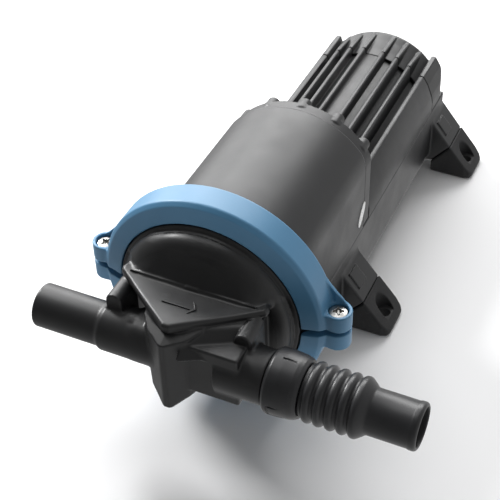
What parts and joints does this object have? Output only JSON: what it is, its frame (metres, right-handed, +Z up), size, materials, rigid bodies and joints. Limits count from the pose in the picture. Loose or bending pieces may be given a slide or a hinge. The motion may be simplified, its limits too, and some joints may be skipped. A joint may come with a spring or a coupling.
{
  "type": "electric diaphragm bilge pump",
  "caption": "Motor-driven diaphragm bilge pump with a clamped two-port head, stepped hose tail, finned motor cover and rubber mounting feet.",
  "frame": {"origin": "on the mounting face, at the centre of the four foot holes", "axes": "+Y along the pump from the head to the motor, +X to the outlet side, +Z up from the mounting face"},
  "size_m": [0.1675, 0.2641, 0.1107],
  "materials": {
    "case_plastic": "satin black moulded, fine spark texture",
    "connector_plastic": "satin black moulded",
    "black_rubber": "matte",
    "blue_plastic": "satin cornflower blue moulded",
    "steel": "bright stainless",
    "white_vinyl": "printed sticker, left blank",
    "valve_rubber": "matte nitrile",
    "acetal": "natural acetal",
    "die_cast": "die cast",
    "bronze": "sintered bronze",
    "shaft_steel": "ground",
    "lamination_steel": "stacked laminations",
    "copper": "enamelled copper wire and bars",
    "zinc_steel": "zinc plated",
    "magnet": "ferrite",
    "brush_board": "phenolic board",
    "carbon": "carbon"
  },
  "bodies": {
    "housing": {"chassis": "case_plastic", "gearbox_plate": "case_plastic", "motor_shroud": "case_plastic", "motor_end_cap": "case_plastic", "cable_gland": "black_rubber", "foot_front_right": "black_rubber", "foot_front_left": "black_rubber", "foot_rear_right": "black_rubber", "foot_rear_left": "black_rubber", "clamp_ring_upper": "blue_plastic", "clamp_ring_lower": "blue_plastic", "clamp_nut_right": "steel", "clamp_nut_left": "steel", "check_sticker": "white_vinyl", "diaphragm": "valve_rubber", "crank_bearing_right": "bronze", "crank_bearing_left": "bronze", "motor_can": "zinc_steel", "magnet_right": "magnet", "magnet_left": "magnet", "motor_end_bell": "zinc_steel", "brush_plate": "brush_board", "brush_right": "carbon", "brush_left": "carbon", "front_bearing": "shaft_steel", "rear_bearing": "shaft_steel", "tail_bush": "bronze", "end_screw_right": "steel", "end_screw_left": "steel"},
    "head": {"pump_head": "case_plastic", "outlet_connector": "connector_plastic", "outlet_collar": "connector_plastic", "connector_seal": "black_rubber", "inlet_valve": "valve_rubber", "outlet_valve": "valve_rubber"},
    "screw_right": {"clamp_screw_right": "steel"},
    "screw_left": {"clamp_screw_left": "steel"},
    "rotor": {"motor_shaft": "shaft_steel", "worm": "shaft_steel", "armature": "lamination_steel", "windings": "copper", "commutator": "copper"},
    "crank": {"crankshaft": "shaft_steel", "worm_wheel": "acetal"},
    "rod": {"connecting_rod": "die_cast", "rod_bush_right": "bronze", "rod_bush_left": "bronze", "front_plate": "acetal", "rear_plate": "acetal", "diaphragm_bolt": "steel"}
  },
  "joints": [
    {"name": "head_turn", "type": "hinge", "parent": "housing", "child": "head", "pos_m": [0, -0.1335, 0.06], "axis": [0, 1, 0], "range_deg": [-90, 90]},
    {"name": "screw_right_turn", "type": "hinge", "parent": "housing", "child": "screw_right", "pos_m": [0.05415, -0.1335, 0.06], "axis": [0, 0, 1], "continuous": true},
    {"name": "screw_left_turn", "type": "hinge", "parent": "housing", "child": "screw_left", "pos_m": [-0.05415, -0.1335, 0.06], "axis": [0, 0, 1], "continuous": true},
    {"name": "motor_spin", "type": "hinge", "parent": "housing", "child": "rotor", "pos_m": [0, -0.0815, 0.036], "axis": [0, 1, 0], "continuous": true},
    {"name": "crank_spin", "type": "hinge", "parent": "housing", "child": "crank", "pos_m": [0, -0.0815, 0.06], "axis": [1, 0, 0], "continuous": true},
    {"name": "rod_level", "type": "hinge", "parent": "crank", "child": "rod", "pos_m": [0, -0.0855, 0.06], "axis": [1, 0, 0], "continuous": true, "deforming": ["diaphragm"]}
  ],
  "couplings": [
    {"joint": "crank_spin", "follows": "motor_spin", "ratio": -0.16667},
    {"joint": "rod_level", "follows": "motor_spin", "ratio": 0.16667}
  ]
}
